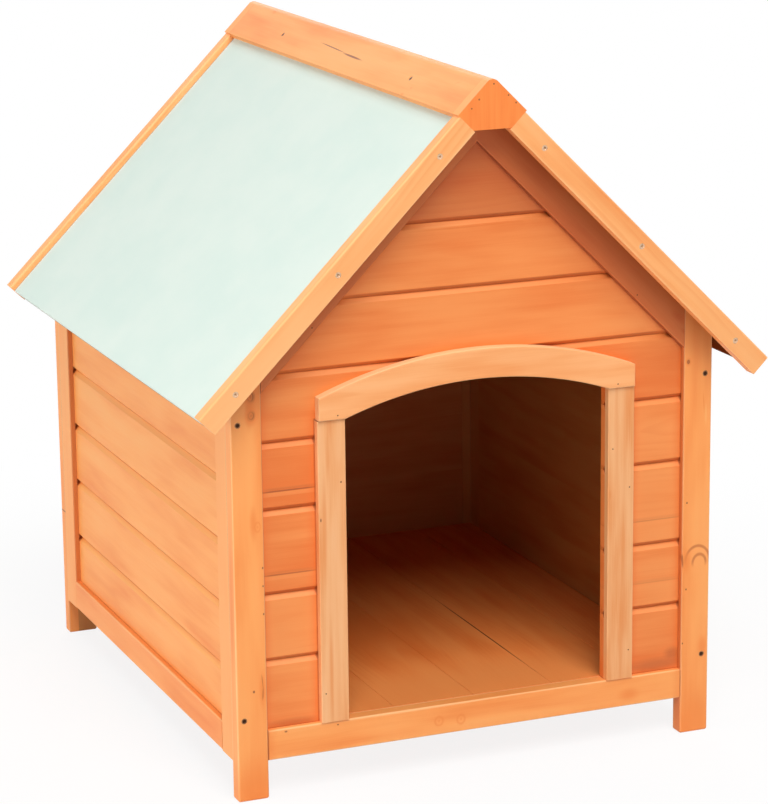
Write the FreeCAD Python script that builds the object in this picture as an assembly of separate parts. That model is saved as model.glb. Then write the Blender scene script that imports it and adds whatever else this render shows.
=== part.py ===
import FreeCAD, Part
import math
import os

# A dog house of stained softwood with a pitched, felted roof. Four framed and boarded
# wall panels are screwed together at the corners; the front and rear panels stand on
# legs and carry the gables, the side panels fit between them. The floor lies inside on
# cross bearers. Each roof slope is a felted deck between two barge boards, and a ridge
# cap of two boards and two end plates closes the top.
#
# Millimetres. +Z is up, the origin is on the ground under the middle, the front faces -Y.

Vector = FreeCAD.Vector

# ---- walls: overall sizes -------------------------------------------------------------
BODY_WIDTH = 616.0        # across the posts
BODY_DEPTH = 706.0        # front face of the front posts to rear face of the rear posts
SIDE_HEIGHT = 506.0       # ground to the roof's underside at the outer side faces
ROOF_PITCH = 45.0         # degrees

# ---- frame stock ------------------------------------------------------------------------
STOCK_WIDTH = 38.0        # face width of posts, stiles, side top rails and gable battens
STOCK_THICK = 18.0
RAIL_HEIGHT = 37.0        # bottom rails
LEG_HEIGHT = 47.0         # ground to the underside of the bottom rails
ARRIS = 2.0               # rounding of planed edges
FOOT_ROUND = 3.0          # rounding of the legs' lower ends

# ---- cladding: V-grooved tongue and groove boards, laid in rebates in the frames -------------
BOARD_RECESS = 7.0        # frame face to board face
BOARD_LAP = 8.0           # how far the boards lie behind the frame members
BOARD_FIT = 0.4           # clearance of the boards at the end of the rebate
V_HEIGHT = 5.5            # chamfer of each board at a V groove, on the face
V_DEPTH = 5.0             # depth of the V groove
TONGUE_THICK = 2.4
TONGUE_LENGTH = 5.0
TONGUE_FIT = 0.2          # clearance of a tongue in its groove
GABLE_FIRST_JOINT = 166.0  # height of the lowest V groove, front and rear
GABLE_COVER = 80.2        # height that one board covers
WIDE_COVER = 101.5        # the third row is a wider board
WIDE_ROW = 2
SIDE_FIRST_JOINT = 145.5
SIDE_COVER = 77.3
LEAST_STRIP = 30.0        # a top row narrower than this is cut in one with the row below

# ---- doorway --------------------------------------------------------------------------------
DOOR_WIDTH = 337.0
DOOR_SPRING = 451.5       # ground to the start of the arch
DOOR_RISE = 30.0          # rise of the arch over its springing
JAMB_WIDTH = 34.5
JAMB_THICK = 9.0
HEADER_THICK = 13.0
HEADER_REACH = 202.0      # middle to each end of the header
HEADER_END = 27.0         # height of the header's square ends
HEADER_CROWN = 36.0       # height of the header over the crown of the arch

# ---- floor --------------------------------------------------------------------------------------
FLOOR_TOP = 84.5
FLOOR_THICK = 14.0
PLANK_WIDTH = 104.0
PLANK_GAP = 0.4
PLANK_ARRIS = 0.5         # rounding of the planks' upper edges
FLOOR_FIT = 0.6           # clearance of the floor to the walls
BEARER_WIDTH = 38.0
BEARER_HEIGHT = 22.0
BEARER_SPREAD = 245.0     # middle bearer to each outer one

# ---- roof -----------------------------------------------------------------------------------------
DECK_THICK = 8.0
FELT_THICK = 2.0
GABLE_OVERHANG = 44.0     # body face to the barge boards' outer faces
SIDE_OVERHANG = 52.0      # body side to the top corner of the barge boards
BARGE_THICK = 18.0
BARGE_HEIGHT = 27.0
BARGE_RISE = 8.0          # barge boards above the felt
BARGE_ROUND = 3.0         # rounding of the barge boards' upper edges
RIDGE_WIDTH = 60.0        # ridge board, apex to lower edge along the slope
RIDGE_THICK = 10.0
RIDGE_ROUND = 9.0         # rounding of the ridge
PLATE_SIDE = 26.4         # short sloping sides of the ridge end plates
BRACE_WIDTH = 20.0        # battens under the deck, inside the gables
BRACE_HEIGHT = 25.0
BRACE_TOP = 32.0          # apex to a batten's upper end, along the slope
BRACE_BOTTOM = 392.0

# ---- screws -----------------------------------------------------------------------------------------
HEAD_RADIUS = 3.7
HEAD_DEPTH = 2.6
SHANK_RADIUS = 1.7
HEAD_SINK = 0.3           # head below the wood
SCREW_SIDES = 12          # these small turned forms are drawn with flat sides
HOLE_FIT = 0.1            # clearance of a screw in its hole
PANEL_SCREW = 46.0        # lengths
BARGE_SCREW = 40.0
RIDGE_SCREW = 18.0
PANEL_SCREW_LOW = 100.0   # heights of the screws in the posts
PANEL_SCREW_HIGH = 456.0
BARGE_SCREWS = 3          # in each barge board
BARGE_SCREW_FIRST = 65.0  # middle to the first screw, on plan
BARGE_SCREW_STEP = 125.3
RIDGE_SCREW_DOWN = 36.0   # apex to the ridge screws, along the slope
RIDGE_SCREW_OUT = 216.0   # middle to the ridge screws

# ---- places that follow from the sizes above -----------------------------------------------------------
PITCH = math.radians(ROOF_PITCH)
HALF_WIDTH = BODY_WIDTH / 2
HALF_DEPTH = BODY_DEPTH / 2
BOARD_THICK = STOCK_THICK - BOARD_RECESS
POST_INNER = HALF_WIDTH - STOCK_WIDTH
SIDE_INNER = HALF_WIDTH - STOCK_THICK
GABLE_INNER = HALF_DEPTH - STOCK_THICK
STILE_INNER = GABLE_INNER - STOCK_WIDTH
RAIL_TOP = LEG_HEIGHT + RAIL_HEIGHT
APEX = SIDE_HEIGHT + HALF_WIDTH * math.tan(PITCH)
FELT_TOP = DECK_THICK + FELT_THICK
BARGE_TOP = FELT_TOP + BARGE_RISE
RIDGE_TOP = FELT_TOP + RIDGE_THICK
BARGE_OUTER = HALF_DEPTH + GABLE_OVERHANG
BARGE_INNER = BARGE_OUTER - BARGE_THICK
EAVE = (HALF_WIDTH + SIDE_OVERHANG - BARGE_TOP * math.sin(PITCH)) / math.cos(PITCH)
RIDGE_EDGE = RIDGE_WIDTH - RIDGE_TOP * math.tan(PITCH)
FAR = 2 * (APEX + BODY_WIDTH + BODY_DEPTH)


# ---- shared forms ------------------------------------------------------------------------------------------

def block(x0, x1, y0, y1, z0, z1):
    """A box between the given planes."""
    return Part.makeBox(x1 - x0, y1 - y0, z1 - z0, Vector(x0, y0, z0))


def upright(edges, y0, y1):
    """A closed outline in the XZ plane, made solid from y0 to y1."""
    face = Part.Face(Part.Wire(edges))
    face.translate(Vector(0, y0, 0))
    return face.extrude(Vector(0, y1 - y0, 0))


def outline(points):
    """Straight edges round a closed list of (x, z) points."""
    corners = [Vector(x, 0, z) for x, z in points]
    return [Part.makeLine(a, b) for a, b in zip(corners, corners[1:] + corners[:1])]


def arc(start, middle, end):
    """An arc through three (x, z) points."""
    return Part.Arc(*[Vector(x, 0, z) for x, z in (start, middle, end)]).toShape()


def ease(shape, radius, along, **planes):
    """Round the straight edges that run along one axis and lie on the given planes."""
    axis = "xyz".index(along)
    picked = []
    for edge in shape.Edges:
        start, end = edge.Vertexes[0].Point, edge.Vertexes[-1].Point
        run = end - start
        if abs(run[axis]) < 1e-6 or run.Length - abs(run[axis]) > 1e-6:
            continue
        if all(abs(start["xyz".index(name)] - at) < 1e-6 for name, at in planes.items()):
            picked.append(edge)
    return shape.makeFillet(radius, picked)


def mirror_x(shape):
    return shape.mirror(Vector(0, 0, 0), Vector(1, 0, 0))


def mirror_y(shape):
    return shape.mirror(Vector(0, 0, 0), Vector(0, 1, 0))


def on_slope(shape):
    """Move a form from slope coordinates to the right-hand roof slope.

    In slope coordinates x runs down the roof from the apex of the underside and z rises
    square to the underside.
    """
    moved = shape.copy()
    moved.rotate(Vector(0, 0, 0), Vector(0, 1, 0), ROOF_PITCH)
    moved.translate(Vector(0, 0, APEX))
    return moved


def slope_height(x, rise):
    """Height of the plane that lies a given rise square above the roof's underside."""
    return APEX - abs(x) * math.tan(PITCH) + rise / math.cos(PITCH)


def under_roof(shape):
    """Cut away what would stand above the roof's underside."""
    sky = outline([(0, slope_height(0, 0)), (FAR, slope_height(FAR, 0)), (FAR, FAR),
                   (-FAR, FAR), (-FAR, slope_height(FAR, 0))])
    return shape.cut(upright(sky, -FAR, FAR))


# ---- wall frames ------------------------------------------------------------------------------------------------

def board_field(fit):
    """The outline of a gable wall's boards, less a clearance, as a solid in the rebate."""
    reach = POST_INNER + BOARD_LAP - fit
    bottom = RAIL_TOP - BOARD_LAP + fit
    rise = BOARD_LAP - STOCK_WIDTH - fit
    points = [(-reach, bottom), (reach, bottom), (reach, slope_height(reach, rise)),
              (0, slope_height(0, rise)), (-reach, slope_height(reach, rise))]
    return upright(outline(points), BOARD_RECESS - HALF_DEPTH, -GABLE_INNER)


def gable_post():
    """Right front post and leg, cut to the roof slope at the top."""
    post = block(POST_INNER, HALF_WIDTH, -HALF_DEPTH, -GABLE_INNER, 0, APEX)
    post = ease(post, ARRIS, "z", y=-HALF_DEPTH)
    post = post.makeFillet(FOOT_ROUND, [e for e in post.Edges if e.BoundBox.ZMax < 1e-6])
    return under_roof(post).cut(board_field(0))


def gable_rail(field):
    """Bottom rail between two posts, with the rebate for the boards along its top."""
    rail = block(-POST_INNER, POST_INNER, -HALF_DEPTH, -GABLE_INNER, LEG_HEIGHT, RAIL_TOP)
    return ease(rail, ARRIS, "x", y=-HALF_DEPTH).cut(field)


def gable_batten():
    """Right sloping batten under the roof, mitred at the apex and cut upright at the post."""
    batten = block(-STOCK_WIDTH, EAVE, -HALF_DEPTH, -GABLE_INNER, -STOCK_WIDTH, 0)
    batten = ease(batten, ARRIS, "x", y=-HALF_DEPTH, z=-STOCK_WIDTH)
    between = block(0, POST_INNER, -HALF_DEPTH, -GABLE_INNER, 0, APEX)
    return on_slope(batten).common(between).cut(board_field(0))


def side_field(fit):
    """The outline of the right wall's boards, less a clearance, as a solid in the rebate."""
    reach = STILE_INNER + BOARD_LAP - fit
    return block(SIDE_INNER, HALF_WIDTH - BOARD_RECESS, -reach, reach,
                 RAIL_TOP - BOARD_LAP + fit, SIDE_HEIGHT - STOCK_WIDTH + BOARD_LAP - fit)


def side_stile():
    """Front stile of the right wall, screwed to the post in front of it."""
    stile = block(SIDE_INNER, HALF_WIDTH, -GABLE_INNER, -STILE_INNER, LEG_HEIGHT, SIDE_HEIGHT)
    stile = ease(stile, ARRIS, "z", x=HALF_WIDTH, y=-STILE_INNER)
    return stile.cut(side_field(0))


def side_rail(bottom, top):
    """Rail of the right wall, between its stiles."""
    rail = block(SIDE_INNER, HALF_WIDTH, -STILE_INNER, STILE_INNER, bottom, top)
    return ease(rail, ARRIS, "y", x=HALF_WIDTH).cut(side_field(0))


# ---- cladding -----------------------------------------------------------------------------------------------------

def joint_heights(first, cover, top, wide_row=None):
    """Heights of the board joints, from the lowest up to the last below the top."""
    heights = [first]
    while heights[-1] + cover < top - LEAST_STRIP:
        heights.append(heights[-1] + (WIDE_COVER if len(heights) == wide_row else cover))
    return heights


def board(bottom, top, reach, grooved, tongued):
    """One board along X with its face at y = 0: tongue up, groove down, V chamfers on the face."""
    tongue = (V_DEPTH + BOARD_THICK - TONGUE_THICK) / 2
    tongue_back = tongue + TONGUE_THICK
    points = [(BOARD_THICK, top), (BOARD_THICK, bottom)]
    if grooved:
        groove_top = bottom + TONGUE_LENGTH + TONGUE_FIT
        points += [(tongue_back + TONGUE_FIT, bottom), (tongue_back + TONGUE_FIT, groove_top),
                   (tongue - TONGUE_FIT, groove_top), (tongue - TONGUE_FIT, bottom),
                   (V_DEPTH, bottom), (0, bottom + V_HEIGHT)]
    else:
        points += [(0, bottom)]
    if tongued:
        points += [(0, top - V_HEIGHT), (V_DEPTH, top), (tongue, top),
                   (tongue, top + TONGUE_LENGTH), (tongue_back, top + TONGUE_LENGTH),
                   (tongue_back, top)]
    else:
        points += [(0, top)]
    corners = [Vector(-reach, y, z) for y, z in points]
    return Part.Face(Part.makePolygon(corners + corners[:1])).extrude(Vector(2 * reach, 0, 0))


def boards(joints, bottom, top, reach):
    """A wall's boards from the rail up, along X with their faces at y = 0."""
    edges = [bottom] + joints + [top]
    rows = range(len(edges) - 1)
    last = len(edges) - 2
    return [board(edges[row], edges[row + 1], reach, row > 0, row < last) for row in rows]


def gable_boards():
    """Rows of boards of the front wall, trimmed to the rebate round them."""
    field = board_field(BOARD_FIT)
    box = field.BoundBox
    joints = joint_heights(GABLE_FIRST_JOINT, GABLE_COVER, box.ZMax, WIDE_ROW)
    rows = boards(joints, box.ZMin, box.ZMax, HALF_WIDTH)
    for row in rows:
        row.translate(Vector(0, BOARD_RECESS - HALF_DEPTH, 0))
    return [row.common(field) for row in rows]


def side_boards():
    """Rows of boards of the right wall."""
    box = side_field(BOARD_FIT).BoundBox
    joints = joint_heights(SIDE_FIRST_JOINT, SIDE_COVER, box.ZMax)
    rows = boards(joints, box.ZMin, box.ZMax, box.YMax)
    for row in rows:
        row.rotate(Vector(0, 0, 0), Vector(0, 0, 1), 90)
        row.translate(Vector(HALF_WIDTH - BOARD_RECESS, 0, 0))
    return rows


# ---- doorway --------------------------------------------------------------------------------------------------------

def door_arch():
    """The arch's edge over the doorway, from right to left."""
    half = DOOR_WIDTH / 2
    return arc((half, DOOR_SPRING), (0, DOOR_SPRING + DOOR_RISE), (-half, DOOR_SPRING))


def doorway():
    """The space cut through the front boards, from the rail up to the arch."""
    half = DOOR_WIDTH / 2
    sides = outline([(-half, DOOR_SPRING), (-half, 0), (half, 0), (half, DOOR_SPRING)])[:3]
    return upright(sides + [door_arch()], -BARGE_OUTER, 0)


def door_jamb():
    """Right jamb, on the front rail and over the cut ends of the boards."""
    face = BOARD_RECESS - HALF_DEPTH
    inner = DOOR_WIDTH / 2
    jamb = block(inner, inner + JAMB_WIDTH, face - JAMB_THICK, face, RAIL_TOP, DOOR_SPRING)
    return ease(jamb, ARRIS / 2, "z", y=face - JAMB_THICK)


def door_header():
    """Arched header over both jambs, sawn from one board."""
    face = BOARD_RECESS - HALF_DEPTH
    half = DOOR_WIDTH / 2
    shoulder = DOOR_SPRING + HEADER_END
    crown = DOOR_SPRING + DOOR_RISE + HEADER_CROWN
    left = outline([(-HEADER_REACH, shoulder), (-HEADER_REACH, DOOR_SPRING),
                    (-half, DOOR_SPRING)])[:2]
    right = outline([(half, DOOR_SPRING), (HEADER_REACH, DOOR_SPRING),
                     (HEADER_REACH, shoulder)])[:2]
    over = arc((HEADER_REACH, shoulder), (0, crown), (-HEADER_REACH, shoulder))
    edges = Part.sortEdges(left + [door_arch()] + right + [over])[0]
    header = upright(edges, face - HEADER_THICK, face)
    front = [e for e in header.Edges if e.BoundBox.YMax < face - HEADER_THICK + 1e-6]
    return header.makeChamfer(ARRIS / 2, front)


# ---- floor ---------------------------------------------------------------------------------------------------------------

def floor_planks():
    """Planks from front to back, laid outwards from a joint on the centre line."""
    half = SIDE_INNER - FLOOR_FIT
    depth = GABLE_INNER - FLOOR_FIT
    count = math.ceil(half / PLANK_WIDTH)
    planks = []
    for index in range(-count, count):
        left = max(index * PLANK_WIDTH + PLANK_GAP / 2, -half)
        right = min((index + 1) * PLANK_WIDTH - PLANK_GAP / 2, half)
        plank = block(left, right, -depth, depth, FLOOR_TOP - FLOOR_THICK, FLOOR_TOP)
        planks.append(ease(plank, PLANK_ARRIS, "y", z=FLOOR_TOP))
    return planks


def floor_bearers():
    """Cross bearers under the planks, from side rail to side rail."""
    top = FLOOR_TOP - FLOOR_THICK
    return [block(-SIDE_INNER, SIDE_INNER, y - BEARER_WIDTH / 2, y + BEARER_WIDTH / 2,
                  top - BEARER_HEIGHT, top)
            for y in (-BEARER_SPREAD, 0, BEARER_SPREAD)]


# ---- roof: right-hand slope, front end where there are two ----------------------------------------------------------------

def right_half(shape):
    """Keep what lies on the right of the ridge line."""
    return shape.common(block(0, FAR, -FAR, FAR, 0, FAR))


def roof_deck():
    """Deck board between the barge boards."""
    deck = block(-DECK_THICK, EAVE - FELT_THICK, -BARGE_INNER, BARGE_INNER, 0, DECK_THICK)
    return right_half(on_slope(deck))


def roof_felt():
    """Felt over the deck, folded down over its lower edge."""
    sheet = block(-FELT_TOP, EAVE, -BARGE_INNER, BARGE_INNER, DECK_THICK, FELT_TOP)
    fold = block(EAVE - FELT_THICK, EAVE, -BARGE_INNER, BARGE_INNER, 0, DECK_THICK)
    felt = sheet.fuse(fold).removeSplitter()
    felt = ease(felt, FELT_THICK / 2, "y", x=EAVE, z=FELT_TOP)
    return right_half(on_slope(felt))


def barge_board():
    """Barge board, butted on the end plate and cut square at the eave."""
    bottom = BARGE_TOP - BARGE_HEIGHT
    barge = block(RIDGE_EDGE, EAVE, -BARGE_OUTER, -BARGE_INNER, bottom, BARGE_TOP)
    return on_slope(ease(barge, BARGE_ROUND, "x", z=BARGE_TOP))


def roof_braces():
    """Battens under the deck against the inner faces of the gables."""
    front = block(BRACE_TOP, BRACE_BOTTOM, -GABLE_INNER, BRACE_WIDTH - GABLE_INNER,
                  -BRACE_HEIGHT, 0)
    return [on_slope(front), mirror_y(on_slope(front))]


def ridge_outline(bottom_edges):
    """Close the right half of the rounded ridge over the given lower edges."""
    centre = slope_height(0, RIDGE_TOP - RIDGE_ROUND)
    lean = PITCH / 2
    top = (0, centre + RIDGE_ROUND)
    middle = (RIDGE_ROUND * math.sin(lean), centre + RIDGE_ROUND * math.cos(lean))
    tangent = (RIDGE_ROUND * math.sin(PITCH), centre + RIDGE_ROUND * math.cos(PITCH))
    points = [tangent] + bottom_edges + [top]
    return outline(points)[:-1] + [arc(top, middle, tangent)]


def slope_point(down, rise):
    """(x, z) of a place given down the slope from the apex and square above the underside."""
    return (down * math.cos(PITCH) + rise * math.sin(PITCH),
            APEX - down * math.sin(PITCH) + rise * math.cos(PITCH))


def ridge_board():
    """Ridge board, mitred to its neighbour under the rounded ridge."""
    below = [slope_point(RIDGE_EDGE, RIDGE_TOP), slope_point(RIDGE_EDGE, FELT_TOP),
             (0, slope_height(0, FELT_TOP))]
    return upright(ridge_outline(below), -BARGE_INNER, BARGE_INNER)


def end_plate():
    """Five-sided plate that closes the front end of the ridge and carries the barge ends."""
    corner = slope_point(RIDGE_EDGE, RIDGE_TOP)
    lower = slope_point(RIDGE_EDGE, RIDGE_TOP - PLATE_SIDE)
    edges = ridge_outline([corner, lower, (0, lower[1])])
    half = upright(edges, -BARGE_OUTER, -BARGE_INNER)
    return half.fuse(mirror_x(half)).removeSplitter()


# ---- screws -------------------------------------------------------------------------------------------------------------------

def turned(radius, y):
    """A round section across Y, drawn as a polygon."""
    angles = [2 * math.pi * side / SCREW_SIDES for side in range(SCREW_SIDES + 1)]
    return Part.makePolygon([Vector(radius * math.cos(a), y, radius * math.sin(a)) for a in angles])


def screw(length, fit):
    """Countersunk screw along +Y with the wood's surface at y = 0, or its hole."""
    shank = SHANK_RADIUS + fit
    head = HEAD_RADIUS + fit
    rim = HEAD_SINK + fit
    neck = HEAD_SINK + HEAD_DEPTH
    cone = Part.makeLoft([turned(head, rim), turned(shank, neck)], True, True)
    stem = Part.Face(turned(shank, neck)).extrude(Vector(0, length + fit - neck, 0))
    solid = cone.fuse(stem)
    if fit:
        solid = solid.fuse(Part.Face(turned(head, 0)).extrude(Vector(0, rim, 0)))
    return solid.removeSplitter()


def at(shape, x, y, z):
    moved = shape.copy()
    moved.translate(Vector(x, y, z))
    return moved


def all_round(shape):
    """The shape at the four corners, by symmetry."""
    pair = [shape, mirror_x(shape)]
    return pair + [mirror_y(s) for s in pair]


def panel_screws(fit):
    """Screws through the posts into the side stiles."""
    one = screw(PANEL_SCREW, fit)
    x = (SIDE_INNER + HALF_WIDTH) / 2
    places = [at(one, x, -HALF_DEPTH, z) for z in (PANEL_SCREW_LOW, PANEL_SCREW_HIGH)]
    return [s for place in places for s in all_round(place)]


def barge_screws(fit):
    """Screws through the barge boards into the edges of the deck."""
    one = screw(BARGE_SCREW, fit)
    screws = []
    for index in range(BARGE_SCREWS):
        x = BARGE_SCREW_FIRST + index * BARGE_SCREW_STEP
        place = at(one, x, -BARGE_OUTER, slope_height(x, DECK_THICK / 2))
        screws += all_round(place)
    return screws


def ridge_screws(fit):
    """Screws through the ridge boards into the decks."""
    one = screw(RIDGE_SCREW, fit)
    one.rotate(Vector(0, 0, 0), Vector(1, 0, 0), -90)
    down = RIDGE_SCREW_DOWN - RIDGE_TOP * math.tan(PITCH)
    place = on_slope(at(one, down, RIDGE_SCREW_OUT, RIDGE_TOP))
    return all_round(place)


# ---- assembly ------------------------------------------------------------------------------------------------------------------

def drill(shape, holes):
    """Cut only the holes that reach the shape."""
    near = [hole for hole in holes if hole.BoundBox.intersect(shape.BoundBox)]
    return shape.cut(near) if near else shape


def pairs(stem, right):
    """A right-hand piece and its left-hand mirror image."""
    return {stem % "right": right, stem % "left": mirror_x(right)}


def four(stem, right_front):
    """A right front piece and its three mirror images."""
    front = pairs(stem % ("front", "%s"), right_front)
    rear = pairs(stem % ("rear", "%s"), mirror_y(right_front))
    return {**front, **rear}


def front_cladding():
    """Front boards: the rows beside the doorway are two short boards each."""
    nodes = {}
    for number, row in enumerate(gable_boards(), 1):
        pieces = sorted(row.cut(doorway()).Solids, key=lambda piece: piece.CenterOfMass.x)
        names = ["front_board_%d" % number]
        if len(pieces) == 2:
            names = [names[0] + "_left", names[0] + "_right"]
        nodes.update(zip(names, pieces))
    return nodes


def build():
    """Every node of the dog house by name."""
    nodes = four("%s_%s_post", gable_post())
    nodes.update(four("%s_%s_gable_batten", gable_batten()))
    # The front rail stays whole under the doorway, as its sill.
    nodes["front_bottom_rail"] = gable_rail(board_field(0).cut(doorway()))
    nodes["rear_bottom_rail"] = mirror_y(gable_rail(board_field(0)))
    nodes.update(front_cladding())
    nodes["rear_boards"] = Part.makeCompound([mirror_y(row) for row in gable_boards()])

    nodes.update(four("%s_%s_side_stile", side_stile()))
    nodes.update(pairs("%s_bottom_rail", side_rail(LEG_HEIGHT, RAIL_TOP)))
    nodes.update(pairs("%s_top_rail", side_rail(SIDE_HEIGHT - STOCK_WIDTH, SIDE_HEIGHT)))
    nodes.update(pairs("%s_boards", Part.makeCompound(side_boards())))

    nodes.update(pairs("door_%s_jamb", door_jamb()))
    nodes["door_header"] = door_header()
    nodes["floor_planks"] = Part.makeCompound(floor_planks())
    nodes["floor_bearers"] = Part.makeCompound(floor_bearers())

    nodes.update(pairs("roof_deck_%s", roof_deck()))
    nodes.update(pairs("roof_felt_%s", roof_felt()))
    nodes.update(pairs("roof_braces_%s", Part.makeCompound(roof_braces())))
    nodes.update(four("%s_%s_barge_board", barge_board()))
    nodes.update(pairs("ridge_board_%s", ridge_board()))
    nodes["front_ridge_plate"] = end_plate()
    nodes["rear_ridge_plate"] = mirror_y(end_plate())

    holes = panel_screws(HOLE_FIT) + barge_screws(HOLE_FIT) + ridge_screws(HOLE_FIT)
    nodes = {name: drill(shape, holes) for name, shape in nodes.items()}
    nodes["panel_screws"] = Part.makeCompound(panel_screws(0))
    nodes["barge_screws"] = Part.makeCompound(barge_screws(0))
    nodes["ridge_screws"] = Part.makeCompound(ridge_screws(0))
    return nodes


def main():
    os.makedirs("parts", exist_ok=True)
    for name, shape in build().items():
        shape.exportStep("parts/%s.step" % name)
        print("%-28s %2d solids  %8.0f mm3" % (name, len(shape.Solids), shape.Volume))


main()
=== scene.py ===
"""A wooden dog house with a felted roof: its finishes, fastenings, light and camera."""

from math import atan2, cos, hypot, pi, radians, sin, sqrt
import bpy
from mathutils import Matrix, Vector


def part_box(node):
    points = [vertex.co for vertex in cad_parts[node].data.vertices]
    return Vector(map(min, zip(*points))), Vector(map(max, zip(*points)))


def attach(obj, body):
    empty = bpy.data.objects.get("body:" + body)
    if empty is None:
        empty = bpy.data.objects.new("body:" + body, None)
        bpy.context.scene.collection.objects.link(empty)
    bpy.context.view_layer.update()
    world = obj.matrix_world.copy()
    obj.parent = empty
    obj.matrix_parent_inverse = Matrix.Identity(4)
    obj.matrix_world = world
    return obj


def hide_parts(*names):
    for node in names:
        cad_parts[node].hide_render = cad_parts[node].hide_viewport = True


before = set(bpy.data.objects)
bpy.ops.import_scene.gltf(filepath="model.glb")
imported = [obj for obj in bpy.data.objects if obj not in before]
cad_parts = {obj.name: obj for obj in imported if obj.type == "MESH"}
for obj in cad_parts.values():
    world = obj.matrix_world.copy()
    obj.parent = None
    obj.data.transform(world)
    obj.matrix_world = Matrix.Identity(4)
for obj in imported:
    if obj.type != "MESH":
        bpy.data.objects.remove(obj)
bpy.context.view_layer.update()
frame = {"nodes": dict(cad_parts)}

from zlib import crc32

import bpy
import numpy as np
from bpy.props import FloatProperty, FloatVectorProperty, IntProperty, PointerProperty
from mathutils import Matrix, Vector

bl_info = {
    "name": "Dog House",
    "version": (1, 0, 0),
    "blender": (4, 5, 0),
    "location": "3D View > Sidebar > Dog House",
    "description": "Finishes a framed dog house in varnished softwood and mineral felt",
    "category": "Object",
}

MM = 0.001
NODES = frame["nodes"]

# ---------------------------------------------------------------- directions of the timber

X = Vector((1, 0, 0))
Y = Vector((0, 1, 0))
Z = Vector((0, 0, 1))
SLOPE = sqrt(0.5)
DOWN_RIGHT = Vector((SLOPE, 0, -SLOPE))
OUT_RIGHT = Vector((SLOPE, 0, SLOPE))
DOWN_LEFT = Vector((-SLOPE, 0, -SLOPE))
OUT_LEFT = Vector((-SLOPE, 0, SLOPE))

# Heights of the V grooves of the gable walls and of the side walls, in millimetres.
GABLE_JOINTS = (166, 246.2, 347.7, 427.9, 508.1, 588.3, 668.5)
SIDE_JOINTS = (145.5, 222.8, 300.1, 377.4)

# How much a board covers, and other places that marks and rows use, in millimetres.
GABLE_COVER = 80.2
SIDE_COVER = 77.3
PLANK_COVER = 104
FIRST_PLANK = -312
STILE_BACK = 335.3

# Where pieces meet, in metres from the middle of the house or above the ground.
POST_EDGE = 0.270
STILE_EDGE = 0.297
RAIL_TOP = 0.084
TOP_RAIL_FOOT = 0.468
BATTEN_PEAK = 0.7603
JAMB_MIDDLE = 0.187
JAMB_HALF_WIDTH = 0.0165
HEADER_FOOT = 0.4515
INDOORS_HALF_WIDTH = 0.2955
INDOORS_HALF_DEPTH = 0.3405
ROOF_PEAK = 0.814
FELT_END = 0.379

ENDS = ("front", "rear")
SIDES = ("left", "right")

# Each lie is (along the grain, across the face, through the thickness).
STANDING = (Z, X, Y)
STANDING_AT_SIDE = (Z, Y, X)
ACROSS_GABLE = (X, Z, Y)
ALONG_SIDE = (Y, Z, X)
FLOOR_PLANK = (Y, X, Z)
FLOOR_BEARER = (X, Y, Z)
RIGHT_RAKE = (DOWN_RIGHT, OUT_RIGHT, Y)
LEFT_RAKE = (DOWN_LEFT, OUT_LEFT, Y)
RIGHT_RIDGE = (Y, DOWN_RIGHT, OUT_RIGHT)
LEFT_RIDGE = (Y, DOWN_LEFT, OUT_LEFT)


def linear(red, green, blue):
    """A colour written as it shows on a screen, 0 to 255, as linear light."""
    shown = np.array((red, green, blue)) / 255
    low = shown / 12.92
    high = ((shown + 0.055) / 1.055) ** 2.4
    return tuple(float(value) for value in np.where(shown <= 0.04045, low, high))


def reach(name, lie):
    """The lowest and highest place of a node along each direction of its lie."""
    mesh = NODES[name].data
    places = np.empty(len(mesh.vertices) * 3)
    mesh.vertices.foreach_get("co", places)
    turned = places.reshape(-1, 3) @ np.array(lie).T
    return list(zip(turned.min(0), turned.max(0)))


# ---------------------------------------------------------------- shader maths


class Value:
    """A number, colour or vector that varies over a surface: one socket of a finish."""

    def __init__(self, finish, socket):
        self.finish = finish
        self.socket = socket

    def other(self, output):
        """Another output of the node that this value comes from."""
        return Value(self.finish, self.socket.node.outputs[output])

    def __add__(self, value):
        return self.finish.maths("ADD", self, value)

    __radd__ = __add__

    def __sub__(self, value):
        return self.finish.maths("SUBTRACT", self, value)

    def __rsub__(self, value):
        return self.finish.maths("SUBTRACT", value, self)

    def __mul__(self, value):
        return self.finish.maths("MULTIPLY", self, value)

    __rmul__ = __mul__

    def __truediv__(self, value):
        return self.finish.maths("DIVIDE", self, value)

    def __pow__(self, value):
        return self.finish.maths("POWER", self, value)

    def __abs__(self):
        return self.finish.maths("ABSOLUTE", self)


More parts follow.
